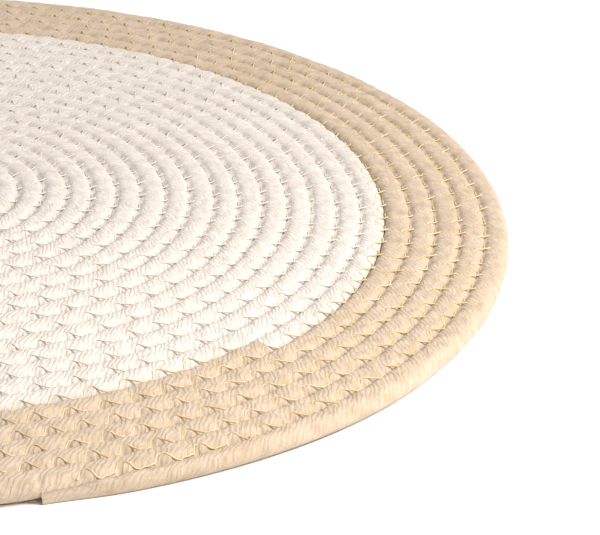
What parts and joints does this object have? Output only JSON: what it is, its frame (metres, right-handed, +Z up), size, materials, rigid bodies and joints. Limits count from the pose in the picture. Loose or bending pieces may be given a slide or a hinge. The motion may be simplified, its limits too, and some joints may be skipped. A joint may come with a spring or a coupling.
{
  "type": "round coiled cotton rope placemat",
  "caption": "Flat round table mat wound from soft cotton cord in a spiral and sewn round to round, with a white centre and a tan border.",
  "frame": {"origin": "centre of the coil, on the flat underside", "axes": "+Z up through the mat, +X and +Y in its plane; the cord's outer end lies near -Y"},
  "size_m": [0.3805, 0.3767, 0.0066],
  "materials": {
    "white_cotton": "matte off-white cotton cord with white thread",
    "tan_cotton": "matte tan cotton cord with cream and gold thread"
  },
  "bodies": {
    "root": {"centre_coil": "white_cotton", "border_coil": "tan_cotton"}
  },
  "joints": []
}
